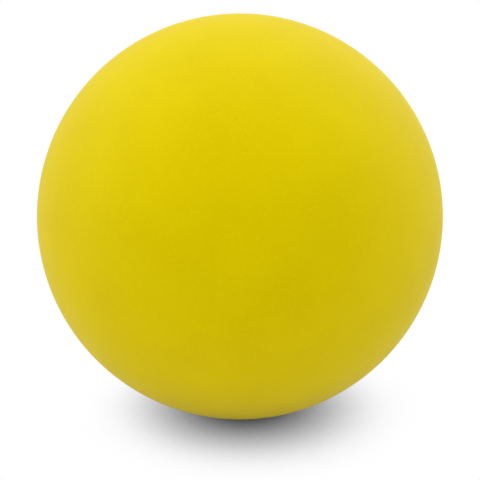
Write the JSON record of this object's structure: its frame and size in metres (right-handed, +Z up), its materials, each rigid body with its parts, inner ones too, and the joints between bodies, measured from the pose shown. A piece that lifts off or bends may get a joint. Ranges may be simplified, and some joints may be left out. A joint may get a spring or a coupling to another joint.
{
  "type": "bouncy ball",
  "caption": "Hollow bouncy ball of matt yellow rubber, moulded half shells cemented rim to rim round a sealed air space, for throwing, bouncing and catching by hand.",
  "frame": {"origin": "the centre of the ball", "axes": "+Z is up, as the ball lies in the picture; -Y is the side it shows. The pole of the front half shell points to -Y and 20 degrees upwards, and the seam lies in the plane square to that line"},
  "size_m": [0.06, 0.06, 0.06],
  "materials": {
    "yellow_rubber": "buffed matt, coloured right through",
    "rubber_cement": "cured cement, ground flush outside"
  },
  "bodies": {
    "root": {"front_half_shell": "yellow_rubber", "rear_half_shell": "yellow_rubber", "seam_cement": "rubber_cement"}
  },
  "joints": []
}
